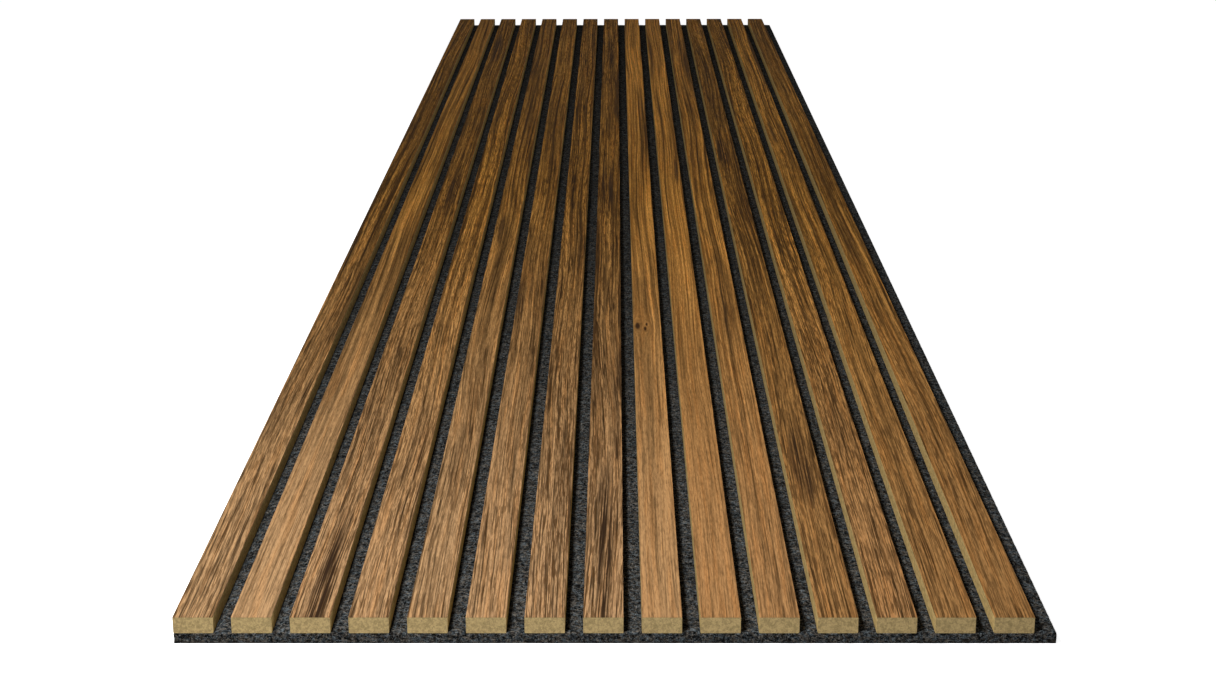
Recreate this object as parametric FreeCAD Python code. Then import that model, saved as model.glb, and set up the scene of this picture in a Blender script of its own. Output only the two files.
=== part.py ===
"""Acoustic slat wall panel: veneered slats on a felt backing board, held from behind by staples.

Millimetres. The panel lies on its back: X across the slats, Y along them, Z out of the wall.
The origin is in the middle of the felt's back face.
"""

import FreeCAD
import Part
import os

V = FreeCAD.Vector

# Panel
panel_width = 600.0
panel_length = 2780.0
felt_thickness = 8.0

# Slats
slat_count = 15
slat_width = 27.3
slat_gap = 12.5
slat_height = 12.0
veneer_thickness = 0.5
veneer_arris = 0.2
core_arris = 0.4

# Staples, shot through the felt into each slat
staple_rows = 7
staple_end_distance = 60.0
staple_crown_width = 12.8
staple_leg_length = 15.0
staple_bend_radius = 1.0
staple_point_length = 1.6
wire_thickness = 0.7
wire_width = 1.2
crown_depth = 0.4

# Worked out from the sizes above
left_edge = -panel_width / 2
near_end = -panel_length / 2
slat_pitch = slat_width + slat_gap
core_height = slat_height - veneer_thickness
veneer_bottom = felt_thickness + core_height
staple_spacing = (panel_length - 2 * staple_end_distance) / (staple_rows - 1)


def slat_left(number):
    """X of the left side of a slat. Slat 1 is flush with the felt, and the last one leaves a bare lip."""
    return left_edge + (number - 1) * slat_pitch


def slat_middle(number):
    return slat_left(number) + slat_width / 2


def staple_places(number):
    """The Y of each staple in a slat."""
    return [near_end + staple_end_distance + row * staple_spacing for row in range(staple_rows)]


def extruded_outline(corners, start, length):
    """A closed outline of (x, z) corners, run along Y."""
    points = [V(x, start, z) for x, z in corners]
    face = Part.Face(Part.makePolygon(points + points[:1]))
    return face.extrude(V(0, length, 0))


def staple_outline():
    """A staple seen along Y: crown at the bottom, legs up to chisel points. Each bend is two flats."""
    half = staple_crown_width / 2
    inner = half - wire_thickness
    low = crown_depth
    high = low + staple_leg_length
    slant = staple_bend_radius * (1 - 0.5 ** 0.5)
    right_leg = [
        (half - staple_bend_radius, low),
        (half - slant, low + slant),
        (half, low + staple_bend_radius),
        (half, high),
        (inner, high - staple_point_length),
        (inner, low + wire_thickness),
    ]
    left_leg = [(-x, z) for x, z in reversed(right_leg)]
    return right_leg + left_leg


def make_staple():
    """One staple of flat wire, centred on the origin in X and Y."""
    return extruded_outline(staple_outline(), -wire_width / 2, wire_width)


def make_crown_seat():
    """The groove that a crown presses into the back of the felt."""
    seat = Part.makeBox(staple_crown_width, wire_width, crown_depth + staple_bend_radius)
    seat.translate(V(-staple_crown_width / 2, -wire_width / 2, 0))
    return seat


def placed_copies(shape, numbers):
    """The shape copied to every staple's place in the given slats."""
    copies = []
    for number in numbers:
        for y in staple_places(number):
            copies.append(shape.translated(V(slat_middle(number), y, 0)))
    return copies


def make_felt():
    """The felt board, cut square, with a seat for every staple."""
    board = Part.makeBox(panel_width, panel_length, felt_thickness)
    board.translate(V(left_edge, near_end, 0))
    seat = make_crown_seat().fuse(make_staple()).removeSplitter()
    return board.cut(placed_copies(seat, range(1, slat_count + 1)))


def make_core(number):
    """The slat's fibreboard bar: square top under the veneer, lower arrises eased where they meet the felt."""
    left = slat_left(number)
    right = left + slat_width
    bar = extruded_outline([
        (left + core_arris, felt_thickness),
        (right - core_arris, felt_thickness),
        (right, felt_thickness + core_arris),
        (right, veneer_bottom),
        (left, veneer_bottom),
        (left, felt_thickness + core_arris),
    ], near_end, panel_length)
    return bar.cut(placed_copies(make_staple(), [number]))


def make_veneer(number):
    """The wood veneer on the slat's face, its two long edges sanded to a small arris."""
    left = slat_left(number)
    right = left + slat_width
    top = veneer_bottom + veneer_thickness
    return extruded_outline([
        (left, veneer_bottom),
        (right, veneer_bottom),
        (right, top - veneer_arris),
        (right - veneer_arris, top),
        (left + veneer_arris, top),
        (left, top - veneer_arris),
    ], near_end, panel_length)


def make_staples():
    """All the staples, as separate solids in one shape."""
    return Part.makeCompound(placed_copies(make_staple(), range(1, slat_count + 1)))


def export(name, shape):
    shape.exportStep(os.path.join("parts", name + ".step"))
    print(name, "solids", len(shape.Solids), "valid", shape.isValid(), "volume", round(shape.Volume))


os.makedirs("parts", exist_ok=True)
export("felt_backing", make_felt())
export("staples", make_staples())
for slat in range(1, slat_count + 1):
    export(f"slat_core_{slat:02d}", make_core(slat))
    export(f"face_veneer_{slat:02d}", make_veneer(slat))
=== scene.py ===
"""Looks of the acoustic slat wall panel: wood veneer on fibreboard slats, and a felt backing board.

Metres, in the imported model's frame. The panel lies on its back: X across the slats, Y along them,
Z up. The camera looks along +Y over the panel's near end.
"""

import math
import random
from collections import namedtuple

import bpy
import numpy as np
from mathutils import Matrix, Vector, noise


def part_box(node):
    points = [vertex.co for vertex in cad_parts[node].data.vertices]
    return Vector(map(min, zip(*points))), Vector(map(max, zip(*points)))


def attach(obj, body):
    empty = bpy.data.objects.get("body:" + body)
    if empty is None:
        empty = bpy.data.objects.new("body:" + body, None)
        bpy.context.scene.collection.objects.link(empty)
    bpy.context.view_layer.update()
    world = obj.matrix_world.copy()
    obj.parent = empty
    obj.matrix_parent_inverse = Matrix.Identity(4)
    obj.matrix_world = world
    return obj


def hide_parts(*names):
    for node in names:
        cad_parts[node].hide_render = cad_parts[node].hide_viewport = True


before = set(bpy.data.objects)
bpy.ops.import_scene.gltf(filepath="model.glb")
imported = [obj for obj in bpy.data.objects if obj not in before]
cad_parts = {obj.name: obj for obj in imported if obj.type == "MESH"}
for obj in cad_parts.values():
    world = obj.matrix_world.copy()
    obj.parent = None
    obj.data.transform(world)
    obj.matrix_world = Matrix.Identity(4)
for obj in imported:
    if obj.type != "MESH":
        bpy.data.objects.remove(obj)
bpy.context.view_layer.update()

MM = 0.001
BODY = "root"
BAKE_MAP = "OFBake"

# The frame's own sizes
slat_count = sum(1 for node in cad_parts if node.startswith("slat_core_"))
felt_low, felt_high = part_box("felt_backing")
first_low, first_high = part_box("slat_core_01")
second_low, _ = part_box("slat_core_02")
veneer_low, veneer_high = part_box("face_veneer_01")
slat_width = first_high.x - first_low.x
slat_pitch = second_low.x - first_low.x
near_end = felt_low.y
far_end = felt_high.y
panel_length = far_end - near_end
felt_width = felt_high.x - felt_low.x
felt_top = felt_high.z


def slat_left(number):
    return first_low.x + (number - 1) * slat_pitch


def slat_middle(number):
    return slat_left(number) + slat_width / 2


# Node graphs

class Graph:
    """One material's node tree, with short calls. A value is a number, a colour or a node's output."""

    def __init__(self, name):
        self.material = bpy.data.materials.new(name)
        self.material.use_nodes = True
        self.tree = self.material.node_tree
        self.shader = self.tree.nodes["Principled BSDF"]

    def put(self, socket, value):
        if isinstance(value, bpy.types.NodeSocket):
            self.tree.links.new(value, socket)
        else:
            socket.default_value = value

    def node(self, kind, **settings):
        made = self.tree.nodes.new(kind)
        for setting, value in settings.items():
            setattr(made, setting, value)
        return made

    def math(self, operation, a, b=0.0):
        made = self.node("ShaderNodeMath", operation=operation)
        self.put(made.inputs[0], a)
        self.put(made.inputs[1], b)
        return made.outputs[0]

    def add(self, a, b):
        return self.math("ADD", a, b)

    def minus(self, a, b):
        return self.math("SUBTRACT", a, b)

    def times(self, a, b):
        return self.math("MULTIPLY", a, b)

    def lower(self, a, b):
        return self.math("MINIMUM", a, b)

    def higher(self, a, b):
        return self.math("MAXIMUM", a, b)

    def point(self, x, y, z=0.0):
        made = self.node("ShaderNodeCombineXYZ")
        for socket, value in zip(made.inputs, (x, y, z)):
            self.put(socket, value)
        return made.outputs[0]

    def distance(self, x, y):
        """How far the point (x, y) lies from the origin."""
        made = self.node("ShaderNodeVectorMath", operation="LENGTH")
        self.put(made.inputs[0], self.point(x, y))
        return made.outputs["Value"]

    def place(self):
        """X, Y and Z on the piece, in the model's frame."""
        where = self.node("ShaderNodeTexCoord").outputs["Object"]
        split = self.node("ShaderNodeSeparateXYZ")
        self.put(split.inputs[0], where)
        return split.outputs

    def noise(self, vector, scale=1.0, detail=2.0, roughness=0.5):
        made = self.node("ShaderNodeTexNoise")
        self.put(made.inputs["Vector"], vector)
        made.inputs["Scale"].default_value = scale
        made.inputs["Detail"].default_value = detail
        made.inputs["Roughness"].default_value = roughness
        return made.outputs[0]

    def step(self, value, low, high, start=0.0, end=1.0):
        """From start to end as the value goes from low to high, eased at both ends."""
        made = self.node("ShaderNodeMapRange", interpolation_type="SMOOTHSTEP")
        for name, given in (("Value", value), ("From Min", low), ("From Max", high),
                            ("To Min", start), ("To Max", end)):
            self.put(made.inputs[name], given)
        return made.outputs[0]

    def about_one(self, value, amount):
        """A factor that swings about 1 as a noise swings about its middle."""
        return self.add(self.times(self.minus(value, 0.5), 2 * amount), 1.0)

    def mix(self, factor, a, b, blend="MIX"):
        """Two colours mixed. A Mix node has its colours on inputs 6 and 7 and on output 2."""
        made = self.node("ShaderNodeMix", data_type="RGBA", blend_type=blend)
        self.put(made.inputs[0], factor)
        self.put(made.inputs[6], a)
        self.put(made.inputs[7], b)
        return made.outputs[2]

    def scaled(self, colour, factor):
        made = self.node("ShaderNodeVectorMath", operation="SCALE")
        self.put(made.inputs[0], colour[:3] if isinstance(colour, tuple) else colour)
        self.put(made.inputs["Scale"], factor)
        return made.outputs[0]

    def surface(self, values):
        """The shader's own inputs, by name."""
        for name, value in values.items():
            self.put(self.shader.inputs[name], value)

    def bump(self, height, distance, strength):
        made = self.node("ShaderNodeBump")
        made.inputs["Distance"].default_value = distance
        made.inputs["Strength"].default_value = strength
        self.put(made.inputs["Height"], height)
        self.put(self.shader.inputs["Normal"], made.outputs[0])


def rgba(red, green, blue):
    return (red, green, blue, 1.0)


# Wood veneer

# The tones that a face starts from at its near end and comes to at its far end
TONES = {
    "honey": rgba(0.302, 0.180, 0.087),
    "tan": rgba(0.296, 0.174, 0.084),
    "orange": rgba(0.294, 0.166, 0.073),
    "amber": rgba(0.281, 0.146, 0.057),
    "brown": rgba(0.252, 0.128, 0.044),
    "walnut": rgba(0.355, 0.163, 0.031),
    "umber": rgba(0.405, 0.185, 0.034),
    "russet": rgba(0.420, 0.190, 0.037),
    "deep": rgba(0.307, 0.142, 0.028),
}
PORE_BROWN = rgba(0.085, 0.041, 0.015)
STREAK_BROWN = rgba(0.030, 0.016, 0.008)
KNOT_BROWN = rgba(0.045, 0.020, 0.007)
WARM_TINT = rgba(1.07, 0.98, 0.88)

# A streak is a long lens of dark lines: its middle and width as shares of the slat's width, and where it
# starts and ends, in metres from the near end.
Streak = namedtuple("Streak", "across width start end strength")
# A knot's middle as a share of the slat's width and in metres from the near end, and its radius.
Knot = namedtuple("Knot", "across along radius")
# A slat's face: its near and far tones, how strong its lines, pores and flecks are, and its streaks and
# knots.
Face = namedtuple("Face", "near far lines pores fleck streaks knots", defaults=[()])
FACES = [
    Face("honey", "deep", 0.8, 0.60, 0.6, [
        Streak(0.20, 0.5, 0.30, 0.62, 0.35),
        Streak(0.05, 0.5, 0.85, 1.10, 0.70),
        Streak(0.10, 0.6, 1.50, 2.10, 0.55),
    ]),
    Face("honey", "deep", 0.5, 0.30, 0.2, [
        Streak(0.10, 0.4, 0.66, 0.88, 0.65),
        Streak(0.75, 0.4, 0.85, 1.25, 0.30),
    ]),
    Face("tan", "deep", 0.9, 0.75, 0.3, [
        Streak(0.58, 0.7, -0.12, 0.23, 1.00),
        Streak(0.25, 0.6, 0.30, 0.56, 0.50),
        Streak(0.58, 0.8, 1.12, 1.46, 0.90),
        Streak(0.45, 0.8, 2.22, 2.62, 0.90),
    ]),
    Face("tan", "umber", 0.8, 0.70, 0.6, [
        Streak(0.60, 0.7, 0.16, 0.55, 0.40),
        Streak(0.20, 0.5, 0.62, 0.90, 0.30),
    ]),
    Face("honey", "deep", 0.8, 0.55, 0.3, [
        Streak(0.45, 0.5, 0.15, 0.45, 0.35),
        Streak(0.35, 0.6, 0.98, 1.20, 0.70),
        Streak(0.55, 0.9, 1.55, 1.95, 0.50),
    ]),
    Face("tan", "deep", 0.8, 0.60, 0.3, [
        Streak(0.12, 0.5, 0.60, 0.95, 0.70),
        Streak(0.50, 0.6, 0.75, 1.10, 0.35),
    ]),
    Face("tan", "deep", 0.9, 0.80, 0.4, [
        Streak(0.70, 0.5, 0.05, 0.40, 0.40),
        Streak(0.85, 0.4, 0.75, 1.15, 0.45),
    ]),
    Face("tan", "deep", 1.0, 0.80, 0.2, [
        Streak(0.52, 0.6, -0.12, 0.36, 1.00),
        Streak(0.88, 0.4, 0.25, 0.65, 0.80),
        Streak(0.45, 0.8, 1.12, 1.52, 0.90),
        Streak(0.45, 0.8, 2.20, 2.60, 0.90),
    ]),
    Face("orange", "russet", 0.4, 0.20, 0.2, [
        Streak(0.45, 0.8, 0.70, 0.92, 0.30),
    ], [
        Knot(0.15, 0.692, 2.6 * MM),
        Knot(0.42, 0.682, 1.5 * MM),
        Knot(0.48, 0.697, 1.2 * MM),
    ]),
    Face("amber", "russet", 0.4, 0.30, 0.2, [
        Streak(0.80, 0.3, 1.30, 1.52, 0.80),
    ]),
    Face("amber", "russet", 0.6, 0.40, 0.2, [
        Streak(0.60, 0.8, 0.55, 1.05, 0.55),
    ]),
    Face("brown", "deep", 0.9, 0.75, 0.3, [
        Streak(0.50, 0.9, 0.17, 0.42, 0.90),
        Streak(0.80, 0.7, 1.05, 1.35, 0.60),
        Streak(0.35, 0.7, 1.38, 1.68, 0.95),
    ]),
    Face("amber", "umber", 0.9, 0.75, 0.7, [
        Streak(0.50, 0.9, 0.25, 0.52, 0.45),
    ]),
    Face("brown", "walnut", 0.7, 0.60, 0.3, [
        Streak(0.20, 0.5, 1.54, 1.78, 0.80),
    ]),
    Face("brown", "deep", 0.7, 0.60, 0.3, [
        Streak(0.45, 0.6, 0.80, 1.20, 0.45),
    ]),
]

# A kind of grain is a noise drawn out along the slat: its waves per metre across and along the slat, its
# own place in the noise, and the noise's detail and roughness.
Grain = namedtuple("Grain", "across along place detail roughness", defaults=[2.0, 0.5])
BANDS = Grain(105.0, 0.7, 0.0, detail=3.0)
STRANDS = Grain(260.0, 1.6, 5.0)
LINES = Grain(720.0, 6.0, 11.0, detail=1.0, roughness=0.7)
COARSE = Grain(400.0, 1.4, 13.0, roughness=0.6)
RAILS = Grain(380.0, 2.4, 17.0, detail=0.0)
DASHES = Grain(500.0, 20.0, 19.0, detail=1.0)
GRIT = Grain(1000.0, 100.0, 23.0, detail=3.0, roughness=0.7)
PORES = Grain(900.0, 34.0, 31.0, detail=1.0)
SLITS = Grain(2700.0, 90.0, 37.0, detail=0.0)
CROWDS = Grain(150.0, 3.0, 41.0)
FLECKS = Grain(640.0, 34.0, 53.0)
WARMTH = Grain(260.0, 7.0, 61.0)
NEAR_THREADS = Grain(480.0, 5.0, 71.0, detail=1.0)
FAR_THREADS = Grain(280.0, 1.8, 71.0, detail=1.0)

# How far apart in the noise two slats are read, and two streaks of one slat
SLATS_APART = 3.7
STREAKS_APART = 9.0
# Where the far kind of threads begins, in metres from the near end, and the flecks' slope
FAR_STREAKS_FROM = 0.8
FLECK_SLANT = 0.06

# The grain's wander to each side: waves per metre along the slat, and reach
SLOW_WANDER = (1.7, 18 * MM)
QUICK_WANDER = (9.0, 1.6 * MM)
QUICK_WANDER_ACROSS = 12.0

# How much each kind changes the light, and the most that lines and grit may lighten it
BAND_SWING = 0.52
COARSE_SWING = 1.20
LINE_SWING = 2.0
LINE_LIMIT = 1.05
GRIT_SWING = 0.95
GRIT_LIMIT = 1.12
FLECK_SWING = 1.4
SEAM_DEPTH = 0.95
BETWEEN_SEAMS = 1.08
SLIT_DEPTH = 0.75
LIGHT_FLOOR = 0.12

# Changes along the panel: from where to where, in metres from the near end, and the values there
TO_FAR_TONE = (-0.1, 1.4, 0.0, 1.0)
# Painted light: the next two lines brighten the tone from the near end to 1.15 m, fading out by 1.6 m, and
# from 1.7 m on towards the far end, to even out how the lamps' light falls along the panel
NEAR_PAINTED_LIGHT = (1.15, 1.60, 1.26, 1.01)
FAR_PAINTED_LIGHT = (1.70, 2.40, 1.00, 1.20)
FIGURE_WEIGHT = (0.0, 1.3, 0.20, 1.50)
LIGHT_LIMIT = (0.0, 1.2, 1.15, 2.0)

# The bend round a knot: what a length along the grain counts beside a width, and its reach in knot radii
KNOT_SQUEEZE = 0.20
KNOT_SWIRL = 1.8


def streak_mask(graph, across, along, streak):
    """How dark a streak is at a place: its strength in the middle of the lens, fading to 0 at the rim."""
    middle = (streak.start + streak.end) / 2
    sideways = graph.times(graph.minus(across, streak.across), 2 / streak.width)
    lengthways = graph.times(graph.minus(along, middle), 2 / (streak.end - streak.start))
    return graph.step(graph.distance(sideways, lengthways), 0.40, 1.0, streak.strength, 0.0)


def bend_round(graph, x, y, knot, left):
    """The sideways shift of the grain as it flows round a knot, and how far into the knot a place is."""
    from_x = graph.minus(x, left + knot.across * slat_width)
    from_y = graph.times(graph.minus(y, near_end + knot.along), KNOT_SQUEEZE)
    distance = graph.distance(from_x, from_y)
    swirl = KNOT_SWIRL * knot.radius
    far = graph.higher(distance, swirl)
    share = graph.math("DIVIDE", swirl ** 2, graph.times(far, far))
    depth = graph.step(distance, 0.5 * knot.radius, 1.3 * knot.radius, 1.0, 0.0)
    return graph.times(from_x, share), depth


def thin_lines(graph, value, reach, between):
    """1 on the lines where a noise passes its middle, and a lower value between them."""
    from_middle = graph.math("ABSOLUTE", graph.minus(value, 0.5))
    return graph.step(from_middle, 0.25 * reach, reach, 1.0, between)


def wandering(graph, x, y, seed):
    """X on the grain's own lines, which run along Y and wander a few millimetres to each side."""
    slow_scale, slow_reach = SLOW_WANDER
    quick_scale, quick_reach = QUICK_WANDER
    slow_place = graph.point(graph.times(y, slow_scale), seed)
    quick_place = graph.point(graph.times(y, quick_scale), graph.times(x, QUICK_WANDER_ACROSS), seed)
    slow = graph.times(graph.noise(slow_place, detail=0.0), slow_reach)
    quick = graph.times(graph.noise(quick_place, detail=1.0), quick_reach)
    return graph.add(x, graph.add(slow, quick))


def veneer_material(number, face):
    """Open-grained wood: broad bands, fine lines, dark pores, flecks, and the slat's own streaks."""
    graph = Graph(f"veneer_{number:02d}")
    x, y, _ = graph.place()
    seed = SLATS_APART * number
    across = graph.times(graph.minus(x, slat_left(number)), 1 / slat_width)
    along = graph.minus(y, near_end)
    grain_x = wandering(graph, x, y, seed)
    knot_depths = []
    for knot in face.knots:
        shift, depth = bend_round(graph, x, y, knot, slat_left(number))
        grain_x = graph.minus(grain_x, shift)
        knot_depths.append(depth)

    def grain(kind, sideways=grain_x):
        place = graph.point(
            graph.times(sideways, kind.across),
            graph.times(y, kind.along),
            seed + kind.place,
        )
        return graph.noise(place, detail=kind.detail, roughness=kind.roughness)

    # The figure, from broad bands to strands, is strong far along the panel and faint near it
    strands = graph.step(grain(STRANDS), 0.46, 0.62, 1.10, 0.62)
    coarse = graph.about_one(grain(COARSE), COARSE_SWING)
    wide = graph.times(graph.about_one(grain(BANDS), BAND_SWING), graph.times(strands, coarse))
    broad = graph.add(graph.times(graph.minus(wide, 1.0), graph.step(along, *FIGURE_WEIGHT)), 1.0)

    # Fine lines, grit, and flecks that lie slightly across the grain
    lines = grain(LINES)
    even = graph.lower(graph.about_one(lines, LINE_SWING * face.lines), LINE_LIMIT)
    grit = graph.lower(graph.about_one(grain(GRIT), GRIT_SWING), GRIT_LIMIT)
    slanting = graph.add(grain_x, graph.times(y, FLECK_SLANT))
    flecks = graph.about_one(grain(FLECKS, slanting), FLECK_SWING * face.fleck)
    light = graph.times(graph.times(broad, even), graph.times(grit, flecks))
    light = graph.lower(light, graph.step(along, *LIGHT_LIMIT))
    light = graph.higher(light, LIGHT_FLOOR)

    # Seams: thin dark rails broken into dashes
    rails = thin_lines(graph, grain(RAILS), 0.08, 0.0)
    dashes = graph.step(grain(DASHES), 0.40, 0.56, 0.15, 1.0)
    seams = graph.add(graph.times(graph.times(rails, dashes), -SEAM_DEPTH * face.lines), BETWEEN_SEAMS)

    tone = graph.mix(graph.step(along, *TO_FAR_TONE), TONES[face.near], TONES[face.far])
    # Painted light: the tone is brightened over the near half and towards the far end, to even out the
    # lamps' light along the panel
    tone = graph.scaled(tone, graph.step(along, *NEAR_PAINTED_LIGHT))
    tone = graph.scaled(tone, graph.step(along, *FAR_PAINTED_LIGHT))
    colour = graph.scaled(graph.scaled(tone, light), seams)
    colour = graph.mix(graph.step(grain(WARMTH), 0.45, 0.7), colour, WARM_TINT, "MULTIPLY")

    # Pores and narrow slits, in crowds
    pores = graph.step(grain(PORES), 0.52, 0.57)
    slits = graph.step(grain(SLITS), 0.60, 0.68)
    crowd = graph.step(grain(CROWDS), 0.35, 0.62, 0.60, 1.0)
    open_pores = graph.higher(pores, graph.times(slits, SLIT_DEPTH))
    pore_depth = graph.times(graph.times(open_pores, crowd), face.pores)
    colour = graph.mix(pore_depth, colour, PORE_BROWN)

    for index, streak in enumerate(face.streaks):
        kind = NEAR_THREADS if streak.start < FAR_STREAKS_FROM else FAR_THREADS
        threads = grain(kind._replace(place=kind.place + STREAKS_APART * index))
        lens = streak_mask(graph, across, along, streak)
        depth = graph.times(lens, thin_lines(graph, threads, 0.12, 0.28))
        colour = graph.mix(depth, colour, STREAK_BROWN)
    for depth in knot_depths:
        colour = graph.mix(depth, colour, KNOT_BROWN)

    graph.surface({
        "Base Color": colour,
        "Roughness": graph.step(pore_depth, 0.0, 1.0, 0.62, 0.85),
        "Specular IOR Level": 0.004,
    })
    graph.bump(graph.minus(graph.times(lines, 0.5), pore_depth), 0.12 * MM, 0.5)
    return graph.material


# Fibreboard, steel and felt

# Painted light: the sides' khaki is written lighter than the cut ends' because the sides get less lamp
# light
PAINTED_LIGHT_SIDE_KHAKI = rgba(0.600, 0.430, 0.178)
END_KHAKI = rgba(0.322, 0.237, 0.109)
SPECK_BROWN = rgba(0.16, 0.10, 0.04)
ZINC = rgba(0.62, 0.62, 0.60)
FELT_BLUE_GREY = rgba(0.028, 0.033, 0.036)
FELT_BROWN_GREY = rgba(0.039, 0.035, 0.030)
FELT_PALE = rgba(0.16, 0.165, 0.17)
FIBRE_BLUE_GREY = rgba(0.085, 0.098, 0.112)
FIBRE_BROWN_GREY = rgba(0.115, 0.098, 0.080)

# The directions of needled fibres, in radians, and where the greys' noise is read
NEEDLE_TURNS = (0.4, 1.5, 2.5)
HUE_PLACE = 5.3


def fibreboard_material():
    """Raw medium-density fibreboard: pale fibres and small dark specks in khaki. Its long sides carry
    painted light: lighter than its cut ends, and lighter towards the far end, for the lamp light they
    lack.
    """
    graph = Graph("fibreboard")
    x, y, z = graph.place()
    facing = graph.node("ShaderNodeSeparateXYZ")
    graph.put(facing.inputs[0], graph.node("ShaderNodeTexCoord").outputs["Normal"])
    cross_cut = graph.math("ABSOLUTE", facing.outputs["Y"])
    # Painted light: the sides are lightened from 0.92 at the near end to 1.15 at the far end, to make up
    # for the lamp light they lack
    side = graph.scaled(PAINTED_LIGHT_SIDE_KHAKI, graph.step(y, near_end, far_end, 0.92, 1.15))
    base = graph.mix(cross_cut, side, END_KHAKI)
    clumps = graph.noise(graph.point(x, graph.times(y, 0.35), z), 420.0, 4.0, 0.65)
    fibres = graph.noise(graph.point(x, graph.times(y, 0.12), z), 1100.0, 2.0)
    specks = graph.noise(graph.point(x, graph.times(y, 0.4), z), 1300.0, 1.0)
    colour = graph.mix(graph.step(clumps, 0.40, 0.62), graph.scaled(base, 1.08), graph.scaled(base, 0.76))
    colour = graph.scaled(colour, graph.about_one(fibres, 0.38))
    colour = graph.mix(graph.times(graph.step(specks, 0.68, 0.76), 0.55), colour, SPECK_BROWN)
    graph.surface({"Base Color": colour, "Roughness": 0.85, "Specular IOR Level": 0.005})
    graph.bump(fibres, 0.10 * MM, 0.5)
    return graph.material


def staple_material():
    """Bright zinc-plated staple wire, drawn and a little dulled."""
    graph = Graph("staple_wire")
    x, y, z = graph.place()
    drawn = graph.noise(graph.point(graph.times(x, 0.1), y, z), 4000.0, 2.0)
    spots = graph.noise(graph.point(x, y, z), 700.0, 3.0)
    graph.surface({
        "Base Color": graph.scaled(ZINC, graph.about_one(spots, 0.25)),
        "Metallic": 1.0,
        "Roughness": graph.step(drawn, 0.3, 0.7, 0.28, 0.5),
    })
    return graph.material


def needled(graph, x, y, z, per_metre_along, per_metre_across):
    """Strokes lying in several directions, as needled fibres do: high on a stroke, low between them."""
    highest = None
    for index, turn in enumerate(NEEDLE_TURNS):
        along = graph.add(graph.times(x, math.cos(turn)), graph.times(y, math.sin(turn)))
        across = graph.add(graph.times(x, -math.sin(turn)), graph.times(y, math.cos(turn)))
        place = graph.point(
            graph.times(along, per_metre_along),
            graph.times(across, per_metre_across),
            graph.add(graph.times(z, 0.8 * per_metre_across), 5.0 * index),
        )
        strokes = graph.noise(place, detail=1.0)
        highest = strokes if highest is None else graph.higher(highest, strokes)
    return highest


def felt_material():
    """Charcoal felt: needled fibres in blue grey and brown grey, darker on the cut edges and the back."""
    graph = Graph("felt")
    x, y, z = graph.place()
    clumps = graph.noise(graph.point(x, y, z), 300.0, 3.0, 0.6)
    hue = graph.noise(graph.point(graph.add(x, HUE_PLACE), y, z), 420.0, 1.0)
    tufts = needled(graph, x, y, z, 190.0, 640.0)
    strokes = needled(graph, x, y, z, 420.0, 1900.0)
    grey = graph.mix(graph.step(hue, 0.40, 0.60), FELT_BLUE_GREY, FELT_BROWN_GREY)
    clump_light = graph.step(clumps, 0.38, 0.62, 0.5, 1.5)
    tuft_light = graph.step(tufts, 0.46, 0.68, 0.20, 1.9)
    stroke_light = graph.step(strokes, 0.48, 0.72, 0.40, 1.9)
    light = graph.times(graph.times(clump_light, tuft_light), stroke_light)
    face = graph.step(z, felt_top - 1.2 * MM, felt_top - 0.4 * MM, 0.72, 1.0)
    colour = graph.scaled(grey, graph.times(light, face))
    colour = graph.mix(graph.step(strokes, 0.68, 0.78, 0.0, 0.7), colour, FELT_PALE)
    graph.surface({"Base Color": colour, "Roughness": 0.95, "Specular IOR Level": 0.0})
    graph.bump(graph.add(graph.add(tufts, clumps), strokes), 0.6 * MM, 0.7)
    return graph.material


def fibre_material():
    """Single felt fibres, from black to blue grey and brown grey."""
    graph = Graph("felt_fibre")
    x, y, z = graph.place()
    depth = graph.noise(graph.point(x, y, z), 170.0, 1.0)
    hue = graph.noise(graph.point(graph.add(x, HUE_PLACE), y, z), 120.0, 1.0)
    streaks = graph.noise(graph.point(x, y, graph.add(z, 2.2)), 2400.0, 1.0)
    grey = graph.mix(graph.step(hue, 0.42, 0.58), FIBRE_BLUE_GREY, FIBRE_BROWN_GREY)
    colour = graph.scaled(grey, graph.step(depth, 0.35, 0.65, 0.35, 1.5))
    colour = graph.scaled(colour, graph.about_one(streaks, 0.4))
    graph.surface({"Base Color": colour, "Roughness": 0.8, "Specular IOR Level": 0.1})
    graph.bump(streaks, 0.02 * MM, 0.5)
    return graph.material


def add_piece(name, places, faces, material, node):
    """A mesh that stands in for a CAD node: the node is hidden, and the mesh is attached to the panel's
    body.
    """
    mesh = bpy.data.meshes.new(name)
    mesh.from_pydata(places, [], faces)
    mesh.materials.append(material)
    piece = bpy.data.objects.new(name, mesh)
    bpy.context.scene.collection.objects.link(piece)
    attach(piece, BODY)
    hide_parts(node)
    return piece


# Veneer strips

ARRIS = 0.25 * MM
ARRIS_STEPS = 3

# The bake's map: the strip in lengths side by side, the bare margin beside each, and a band for both ends
FOLDS = 5
STRIP_MARGIN = 2 * MM
END_BAND = 0.02


def veneer_outline():
    """Corners (x, z) of a veneer strip, from its left side over the top to its right, x from the left."""
    low, high = veneer_low.z, veneer_high.z
    corners = [(0.0, low)]
    for step in range(ARRIS_STEPS + 1):
        angle = math.pi / 2 * step / ARRIS_STEPS
        corners.append((ARRIS * (1 - math.cos(angle)), high - ARRIS * (1 - math.sin(angle))))
    mirrored = [(slat_width - x, z) for x, z in reversed(corners)]
    return corners + mirrored


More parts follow.
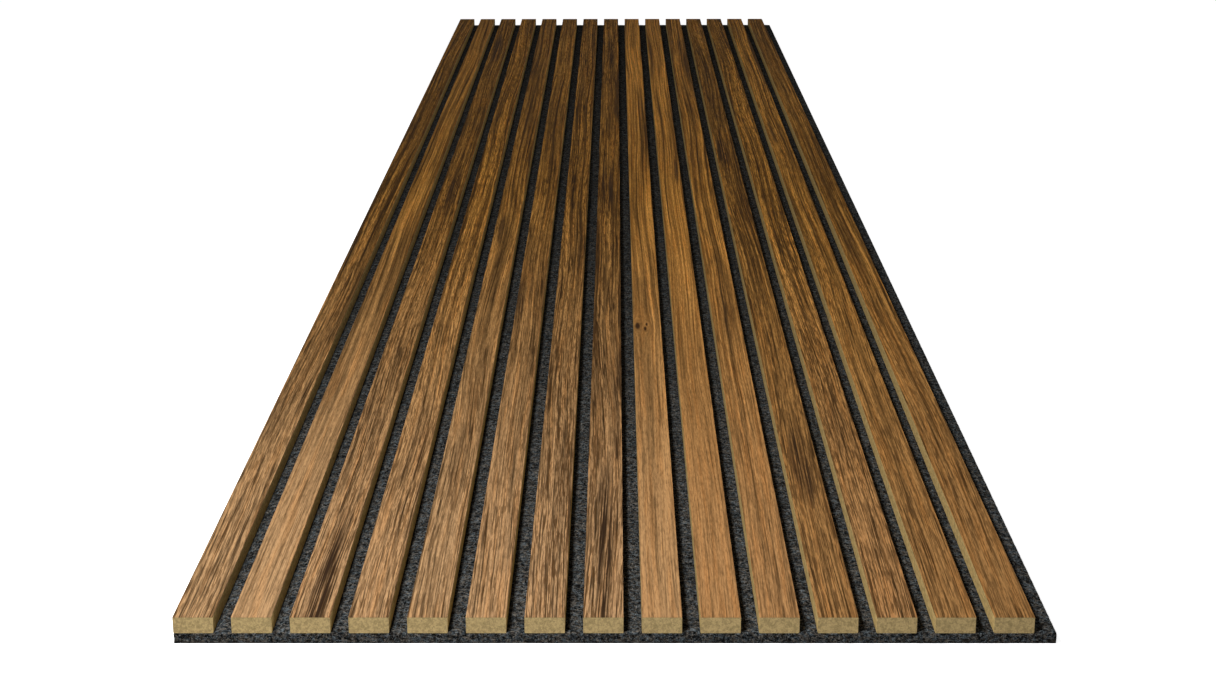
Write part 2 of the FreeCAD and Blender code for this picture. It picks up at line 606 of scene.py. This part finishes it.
def make_veneer(number, material):
    """A slat's veneer with softly sanded arrises, cut across into lengths for the bake's map."""
    outline = veneer_outline()
    columns = len(outline)
    left = slat_left(number)
    rows = [near_end + panel_length * row / FOLDS for row in range(FOLDS + 1)]
    places = [(left + x, y, z) for y in rows for x, z in outline]
    faces = []
    for row in range(FOLDS):
        for column in range(columns):
            a = row * columns + column
            b = row * columns + (column + 1) % columns
            faces.append((a, b, b + columns, a + columns))
    faces.append(tuple(range(columns)))
    faces.append(tuple(range(len(places) - 1, len(places) - 1 - columns, -1)))
    name = f"veneer_strip_{number:02d}"
    piece = add_piece(name, places, faces, material, f"face_veneer_{number:02d}")
    lay_out_strips(piece.data, left)
    return piece


def lay_out_strips(mesh, left):
    """The bake's map: the strip's lengths side by side, and its two ends along the picture's top."""
    layer = mesh.uv_layers.new(name=BAKE_MAP)
    spread = slat_width + 2 * STRIP_MARGIN
    strip_length = panel_length / FOLDS
    for face in mesh.polygons:
        row = min(FOLDS - 1, int((face.center.y - near_end) / strip_length))
        for corner in face.loop_indices:
            place = mesh.vertices[mesh.loops[corner].vertex_index].co
            drop = veneer_high.z - place.z
            x = place.x - left
            if abs(face.normal.y) > 0.5:
                share = drop / (veneer_high.z - veneer_low.z)
                start = 0.25 if face.normal.y > 0 else 0.0
                v = 1 - END_BAND / 2 + start * END_BAND + 0.2 * END_BAND * share
                layer.data[corner].uv = ((x + STRIP_MARGIN) / spread, v)
                continue
            if face.normal.z < -0.5:
                u = 0.5 * MM + 0.2 * MM * (x / slat_width)
            else:
                u = x + (-drop if x < slat_width / 2 else drop) + STRIP_MARGIN
            v = (place.y - near_end - row * strip_length) / strip_length
            layer.data[corner].uv = ((row + u / spread) / FOLDS, v * (1 - 1.5 * END_BAND))


# Felt backing

# The face: how far it swells in a groove, is pressed under a slat, and is tucked under each side
SWELL = 0.35 * MM
PRESSED = 0.15 * MM
TUCK = 1.0 * MM
FACE_ROUGHNESS = 0.30 * MM
FACE_MARGIN = 0.2 * MM
FACE_COLUMNS = 6
FACE_ROWS = 440

# The cut edge: rings round the felt, each by its inset and height in millimetres
EDGE_ROUND = 0.6 * MM
EDGE_ROUGHNESS = 0.22 * MM
EDGE_GAP = 4 * MM
EDGE_RINGS = ((0.15, 7.85), (0.0, 7.2), (0.0, 5.5), (0.0, 3.8), (0.0, 2.1), (0.1, 0.8), (0.4, 0.25))

BACK_INSET = 0.9 * MM
BACK_ROUGHNESS = 0.22 * MM
BACK_COLUMN_GAP = 10 * MM
BACK_ROW_GAP = 15 * MM

# The seats of the staples' crowns in the back: half sizes of the floor, the slope round it, and the depth
SEAT_HALF_LENGTH = 6.4 * MM
SEAT_HALF_WIDTH = 0.6 * MM
SEAT_RIM = 0.6 * MM
SEAT_DEPTH = 0.55 * MM
SEAT_SLACK = 0.01 * MM
STAPLE_ROW_GAP = 10 * MM

# Loose fibres on the felt: three-sided, in two lengths that taper to the ends
FACE_FIBRES = 9000
EDGE_FIBRES = 2600
BACK_FIBRES = 2400
FIBRE_RADIUS = (0.05 * MM, 0.10 * MM)
FIBRE_LENGTH = (3 * MM, 10 * MM)
FIBRE_SIDES = 3
FIBRE_TAPER = (0.6, 1.0, 0.6)
FIBRE_SEED = 7


def bare_strips():
    """Where the felt's face is open: the left and right of each groove, and of the lip."""
    strips = [(slat_left(number) + slat_width, slat_left(number + 1)) for number in range(1, slat_count)]
    return strips + [(slat_left(slat_count) + slat_width, felt_high.x)]


def roughness(x, y, z, wavelength):
    """Smooth noise from about -1 to 1 at a place in the felt."""
    return noise.noise(Vector((x, y, z)) / wavelength)


def face_height(x, y):
    """The felt's face: pressed flat under the slats, swelling between them."""
    for left, right in bare_strips():
        if left < x < right:
            share = (x - left) / (right - left)
            swell = SWELL * math.sin(math.pi * share) ** 0.5
            rough = 0.6 * roughness(x, y, 0.0, 9 * MM) + 0.4 * roughness(x, y, 0.3, 3.5 * MM)
            return felt_top + swell + FACE_ROUGHNESS * rough
    return felt_top - PRESSED


def staple_rows():
    """The Y of each row of staples, from the frame's own staples."""
    ends = sorted({round(vertex.co.y, 5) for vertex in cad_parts["staples"].data.vertices})
    rows = []
    for y in ends:
        if not rows or y - rows[-1][-1] > STAPLE_ROW_GAP:
            rows.append([])
        rows[-1].append(y)
    return [(row[0] + row[-1]) / 2 for row in rows]


def spaced(start, end, gap):
    """Places from start to end, both left out, at most a gap apart."""
    count = math.ceil((end - start) / gap)
    return [start + (end - start) * index / count for index in range(1, count)]


def lines_with_seats(low, high, centres, half, gap):
    """A grid's lines in one direction: at each seat's floor and rim, and spaced evenly between."""
    lines = [low]
    for centre in centres:
        rim = centre - half - SEAT_RIM
        lines += spaced(lines[-1], rim, gap)
        lines += [rim, centre - half, centre + half, centre + half + SEAT_RIM]
    return lines + spaced(lines[-1], high, gap) + [high]


def back_height(x, y, seat_rows):
    """The felt's back: slightly uneven, with a seat for each crown."""
    number = round((x - slat_middle(1)) / slat_pitch)
    from_middle = abs(x - slat_middle(1) - number * slat_pitch)
    from_row = min(abs(y - row) for row in seat_rows)
    if from_middle < SEAT_HALF_LENGTH + SEAT_SLACK and from_row < SEAT_HALF_WIDTH + SEAT_SLACK:
        return SEAT_DEPTH
    return BACK_ROUGHNESS * (0.5 + 0.5 * roughness(x, y, 4.0, 14 * MM))


def rim_of(columns, rows, first):
    """A grid's rim, counter-clockwise from above, in pairs: how many sides round, and the point."""
    across, along = len(columns), len(rows)
    last_row = first + (along - 1) * across
    sides = (
        (columns, range(first, first + across)),
        (rows, range(first + across - 1, last_row + across, across)),
        (columns[::-1], range(last_row + across - 1, last_row - 1, -1)),
        (rows[::-1], range(last_row, first - 1, -across)),
    )
    rim = []
    for side, (stops, points) in enumerate(sides):
        span = stops[-1] - stops[0]
        rim += [(side + (stop - stops[0]) / span, point) for stop, point in zip(stops[:-1], points)]
    return rim


def grid(places, faces, columns, rows, height, upward):
    """A grid of faces over the felt. It returns the grid's rim as a loop for join_loops."""
    first = len(places)
    across = len(columns)
    places += [(x, y, height(x, y)) for y in rows for x in columns]
    for row in range(len(rows) - 1):
        for column in range(across - 1):
            a = first + row * across + column
            corners = (a, a + 1, a + across + 1, a + across)
            faces.append(corners if upward else corners[::-1])
    return rim_of(columns, rows, first)


def edge_ring(places, inset, z):
    """A loop of points round the felt's cut edge, uneven as felt is."""
    first = len(places)
    across = round(felt_width / EDGE_GAP)
    along = round(panel_length / EDGE_GAP)
    stops = [(side, index / count) for side, count in enumerate((across, along, across, along))
             for index in range(count)]
    for side, share in stops:
        corners = ((share, 0.0), (1.0, share), (1 - share, 1.0), (0.0, 1 - share))
        share_x, share_y = corners[side]
        x = felt_low.x + share_x * felt_width
        y = near_end + share_y * panel_length
        rough = 0.4 + roughness(x, y, z, 4 * MM) + 0.5 * roughness(x, y, z, 1.7 * MM)
        depth = inset + EDGE_ROUGHNESS * rough
        places.append((
            x + depth * (1 - 2 * share_x),
            y + depth * (1 - 2 * share_y),
            z + 0.4 * EDGE_ROUGHNESS * roughness(x, y, z + 1, 3 * MM),
        ))
    return [(side + share, first + index) for index, (side, share) in enumerate(stops)]


def join_loops(faces, upper, lower):
    """Triangles between two loops of (place round the rim, point), both counter-clockwise from above."""
    upper = upper + [(4.0, upper[0][1])]
    lower = lower + [(4.0, lower[0][1])]
    a = b = 0
    while a < len(upper) - 1 or b < len(lower) - 1:
        lower_done = b == len(lower) - 1
        if lower_done or (a < len(upper) - 1 and upper[a + 1][0] <= lower[b + 1][0]):
            faces.append((lower[b][1], upper[a + 1][1], upper[a][1]))
            a += 1
        else:
            faces.append((lower[b][1], lower[b + 1][1], upper[a][1]))
            b += 1


def face_columns():
    """The X of the face's points: several in each open strip, and one under the slat at each side."""
    columns = [felt_low.x + EDGE_ROUND]
    for left, right in bare_strips():
        end = min(right - FACE_MARGIN, felt_high.x - EDGE_ROUND)
        columns += [left - TUCK] + list(np.linspace(left + FACE_MARGIN, end, FACE_COLUMNS))
        if right < felt_high.x:
            columns.append(right + TUCK)
    return columns


def make_felt(material):
    """The felt board as one closed mesh: face, cut edges, and back with the staples' seats."""
    places = []
    faces = []
    rows = list(np.linspace(near_end + EDGE_ROUND, far_end - EDGE_ROUND, FACE_ROWS))
    loops = [grid(places, faces, face_columns(), rows, face_height, True)]
    loops += [edge_ring(places, inset * MM, z * MM) for inset, z in EDGE_RINGS]

    seat_rows = staple_rows()
    middles = [slat_middle(number) for number in range(1, slat_count + 1)]
    left, right = felt_low.x + BACK_INSET, felt_high.x - BACK_INSET
    near, far = near_end + BACK_INSET, far_end - BACK_INSET
    back_columns = lines_with_seats(left, right, middles, SEAT_HALF_LENGTH, BACK_COLUMN_GAP)
    back_rows = lines_with_seats(near, far, seat_rows, SEAT_HALF_WIDTH, BACK_ROW_GAP)

    def seated_height(x, y):
        return back_height(x, y, seat_rows)

    loops.append(grid(places, faces, back_columns, back_rows, seated_height, False))
    for upper, lower in zip(loops, loops[1:]):
        join_loops(faces, upper, lower)
    piece = add_piece("felt_board", places, faces, material, "felt_backing")
    piece.data.polygons.foreach_set("use_smooth", [True] * len(faces))
    return piece


def stray(rng):
    """How far a point of a fibre lies beside its straight line."""
    return rng.uniform(-0.8, 0.8) * MM


def face_fibre(rng):
    """A fibre on the felt's open face, kept inside its groove: its ends sunk in, its middle lifted."""
    strips = bare_strips()
    left, right = rng.choices(strips, [right - left for left, right in strips])[0]
    x = rng.uniform(left, right)
    y = rng.uniform(near_end + 3 * MM, far_end - 3 * MM)
    turn = rng.uniform(0, math.pi)
    half = 0.5 * rng.uniform(*FIBRE_LENGTH)
    points = []
    for share, lift in ((-1, -0.05 * MM), (0, rng.uniform(0.05, 0.45) * MM), (1, -0.05 * MM)):
        there = x + share * half * math.cos(turn) + stray(rng)
        there = min(max(there, left + 0.25 * MM), right - 0.25 * MM)
        along = y + share * half * math.sin(turn)
        along = min(max(along, near_end + 0.5 * MM), far_end - 0.5 * MM)
        points.append((there, along, face_height(there, along) + lift))
    return points


def edge_fibre(rng):
    """A fibre on the felt's cut edge, lying along it."""
    side = rng.choices((0, 1, 2, 3), (felt_width, panel_length, felt_width, panel_length))[0]
    span = felt_width if side in (0, 2) else panel_length
    half = 0.5 * rng.uniform(*FIBRE_LENGTH)
    where = rng.uniform(half, span - half)
    z = rng.uniform(1.2, 7.0) * MM
    slope = rng.uniform(-0.25, 0.25)
    points = []
    for share, depth in ((-1, 0.25 * MM), (0, rng.uniform(-0.35, 0.0) * MM), (1, 0.25 * MM)):
        along = where + share * half
        height = min(max(z + share * half * slope, 0.6 * MM), 7.5 * MM)
        if side in (0, 2):
            y = near_end + depth if side == 0 else far_end - depth
            points.append((felt_low.x + along, y, height))
        else:
            x = felt_high.x - depth if side == 1 else felt_low.x + depth
            points.append((x, near_end + along, height))
    return points


def back_fibre(rng):
    """A fibre pressed flat on the felt's back."""
    x = rng.uniform(felt_low.x + 8 * MM, felt_high.x - 8 * MM)
    y = rng.uniform(near_end + 8 * MM, far_end - 8 * MM)
    turn = rng.uniform(0, math.pi)
    half = 0.5 * rng.uniform(*FIBRE_LENGTH)
    points = []
    for share in (-1, 0, 1):
        there = x + share * half * math.cos(turn) + stray(rng)
        height = FIBRE_RADIUS[1] + rng.uniform(0.02, 0.12) * MM
        points.append((there, y + share * half * math.sin(turn), height))
    return points


def fibre_map():
    """Corners of one fibre's faces, as shares of its own cell in the bake's map: sides, then both ends."""
    corners = []
    for length in range(2):
        for side in range(FIBRE_SIDES):
            left, right = 0.05 + 0.3 * side, 0.3 + 0.3 * side
            low, high = 0.05 + 0.38 * length, 0.38 + 0.38 * length
            corners += [(left, low), (left, high), (right, high), (right, low)]
    for left in (0.05, 0.5):
        corners += [(left, 0.84), (left + 0.3, 0.84), (left, 0.96)]
    return np.array(corners)


def fibre_faces(first):
    """One fibre's faces, from its first point: the sides of both lengths, then both ends."""
    middle = first + FIBRE_SIDES
    last = middle + FIBRE_SIDES
    faces = []
    for start, end in ((first, middle), (middle, last)):
        for side in range(FIBRE_SIDES):
            following = (side + 1) % FIBRE_SIDES
            faces.append((start + side, end + side, end + following, start + following))
    faces.append((first, first + 1, first + 2))
    faces.append((last + 2, last + 1, last))
    return faces


def make_fibres(material):
    """Loose fibres lying on the felt's face, edges and back, as closed threads tapering to their ends."""
    rng = random.Random(FIBRE_SEED)
    threads = [face_fibre(rng) for _ in range(FACE_FIBRES)]
    threads += [edge_fibre(rng) for _ in range(EDGE_FIBRES)]
    threads += [back_fibre(rng) for _ in range(BACK_FIBRES)]
    centres = np.array(threads)
    radii = np.array([rng.uniform(*FIBRE_RADIUS) for _ in threads])
    heading = centres[:, 2] - centres[:, 0]
    heading /= np.linalg.norm(heading, axis=1, keepdims=True)
    sideways = np.cross(heading, (0.0, 0.0, 1.0))
    sideways /= np.linalg.norm(sideways, axis=1, keepdims=True)
    upwards = np.cross(sideways, heading)
    taper = np.array(FIBRE_TAPER)
    corners = []
    for turn in range(FIBRE_SIDES):
        angle = math.pi * (0.5 + 2 * turn / FIBRE_SIDES)
        around = math.cos(angle) * sideways + math.sin(angle) * upwards
        corners.append(centres + radii[:, None, None] * taper[None, :, None] * around[:, None, :])
    places = np.stack(corners, axis=2).reshape(-1, 3)
    faces = []
    for first in range(0, len(places), FIBRE_SIDES * len(FIBRE_TAPER)):
        faces += fibre_faces(first)
    piece = add_piece("felt_fibres", places.tolist(), faces, material, "felt_backing")

    # The bake's map: a square of cells, one for each fibre
    cells = math.ceil(math.sqrt(len(threads)))
    numbers = np.arange(len(threads))
    cell_corners = np.stack([numbers % cells, numbers // cells], axis=1)
    layer = piece.data.uv_layers.new(name=BAKE_MAP)
    layer.data.foreach_set("uv", ((cell_corners[:, None, :] + fibre_map()[None, :, :]) / cells).ravel())
    return piece


# Light, floor and camera

WHITE = rgba(1.0, 1.0, 1.0)
FLOOR_GREY = rgba(0.8, 0.8, 0.8)
FLOOR_GLOW = 0.88
FLOOR_HALF = 30.0

# The world's own light at the horizon, and from this height up to straight above
HORIZON_LIGHT = 0.52
UPPER_LIGHT = 0.05
UPPER_HEIGHT = 0.7


def add_area(name, place, target, size, power, length=None):
    """A lamp that no camera sees: a disk, or a rectangle where it has a length."""
    light = bpy.data.lights.new(name, "AREA")
    light.energy = power
    light.shape = "RECTANGLE" if length else "DISK"
    light.size = size
    if length:
        light.size_y = length
    lamp = bpy.data.objects.new(name, light)
    lamp.location = place
    lamp.rotation_euler = (Vector(target) - Vector(place)).to_track_quat("-Z", "Y").to_euler()
    lamp.visible_camera = False
    bpy.context.scene.collection.objects.link(lamp)


def seen_directly(tree):
    """1 where a camera, glossy or transmission ray meets the surface, and 0 for the light it gives."""
    path = tree.nodes.new("ShaderNodeLightPath")
    total = path.outputs["Is Camera Ray"]
    for name in ("Is Glossy Ray", "Is Transmission Ray"):
        either = tree.nodes.new("ShaderNodeMath")
        either.operation = "MAXIMUM"
        tree.links.new(total, either.inputs[0])
        tree.links.new(path.outputs[name], either.inputs[1])
        total = either.outputs[0]
    return total


def make_world():
    """White where it is seen. Its own light is weak, and stronger from the sides than from above."""
    world = bpy.data.worlds.new("studio")
    bpy.context.scene.world = world
    world.use_nodes = True
    tree = world.node_tree
    where = tree.nodes.new("ShaderNodeTexCoord")
    split = tree.nodes.new("ShaderNodeSeparateXYZ")
    tree.links.new(where.outputs["Generated"], split.inputs[0])
    height = tree.nodes.new("ShaderNodeMapRange")
    tree.links.new(split.outputs["Z"], height.inputs["Value"])
    height.inputs["From Max"].default_value = UPPER_HEIGHT
    height.inputs["To Min"].default_value = HORIZON_LIGHT
    height.inputs["To Max"].default_value = UPPER_LIGHT
    strength = tree.nodes.new("ShaderNodeMapRange")
    tree.links.new(seen_directly(tree), strength.inputs["Value"])
    tree.links.new(height.outputs[0], strength.inputs["To Min"])
    strength.inputs["To Max"].default_value = 1.0
    background = tree.nodes["Background"]
    background.inputs["Color"].default_value = WHITE
    tree.links.new(strength.outputs[0], background.inputs["Strength"])


def make_floor():
    """A white floor that still takes the panel's shadow."""
    corners = [(x * FLOOR_HALF, y * FLOOR_HALF, 0) for x, y in ((-1, -1), (1, -1), (1, 1), (-1, 1))]
    mesh = bpy.data.meshes.new("floor")
    mesh.from_pydata(corners, [], [(0, 1, 2, 3)])
    floor = bpy.data.objects.new("floor", mesh)
    bpy.context.scene.collection.objects.link(floor)
    material = bpy.data.materials.new("floor")
    material.use_nodes = True
    tree = material.node_tree
    shader = tree.nodes["Principled BSDF"]
    shader.inputs["Base Color"].default_value = FLOOR_GREY
    shader.inputs["Roughness"].default_value = 1.0
    shader.inputs["Specular IOR Level"].default_value = 0.0
    shader.inputs["Emission Color"].default_value = WHITE
    glow = tree.nodes.new("ShaderNodeMath")
    glow.operation = "MULTIPLY"
    glow.inputs[1].default_value = FLOOR_GLOW
    tree.links.new(seen_directly(tree), glow.inputs[0])
    tree.links.new(glow.outputs[0], shader.inputs["Emission Strength"])
    mesh.materials.append(material)


def add_camera():
    """The photograph's view: over the near end, looking down along the panel."""
    place = Vector((0.55, -2699.42, 615.10)) * MM
    yaw, pitch, roll = -0.00371, 0.29674, -0.00147
    sensor_width = 36.0
    focal_length_in_widths = 1.7318
    forward = Vector((
        math.sin(yaw) * math.cos(pitch),
        math.cos(yaw) * math.cos(pitch),
        -math.sin(pitch),
    ))
    right = Vector((math.cos(yaw), -math.sin(yaw), 0.0))
    up = right.cross(forward)
    tilted_right = math.cos(roll) * right + math.sin(roll) * up
    tilted_up = math.cos(roll) * up - math.sin(roll) * right
    data = bpy.data.cameras.new("camera")
    data.sensor_fit = "HORIZONTAL"
    data.sensor_width = sensor_width
    data.lens = sensor_width * focal_length_in_widths
    camera = bpy.data.objects.new("camera", data)
    axes = Matrix((tilted_right, tilted_up, -forward)).transposed().to_4x4()
    camera.matrix_world = Matrix.Translation(place) @ axes
    bpy.context.scene.collection.objects.link(camera)
    bpy.context.scene.camera = camera


def dress(node, material):
    """Gives a CAD node its material and leaves its shape alone."""
    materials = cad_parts[node].data.materials
    materials.clear()
    materials.append(material)


add_camera()
make_world()
make_floor()
add_area("key", (-0.33, -1.80, 0.93), (0.0, 0.20, 0.0), size=0.2, power=19.5)
add_area("fill", (-0.33, 0.45, 0.93), (-0.20, 0.45, 0.0), size=0.2, power=2.7, length=3.6)

fibreboard = fibreboard_material()
for slat, face in enumerate(FACES, start=1):
    make_veneer(slat, veneer_material(slat, face))
    dress(f"slat_core_{slat:02d}", fibreboard)
dress("staples", staple_material())
make_felt(felt_material())
make_fibres(fibre_material())

bpy.context.scene.view_settings.view_transform = "Standard"
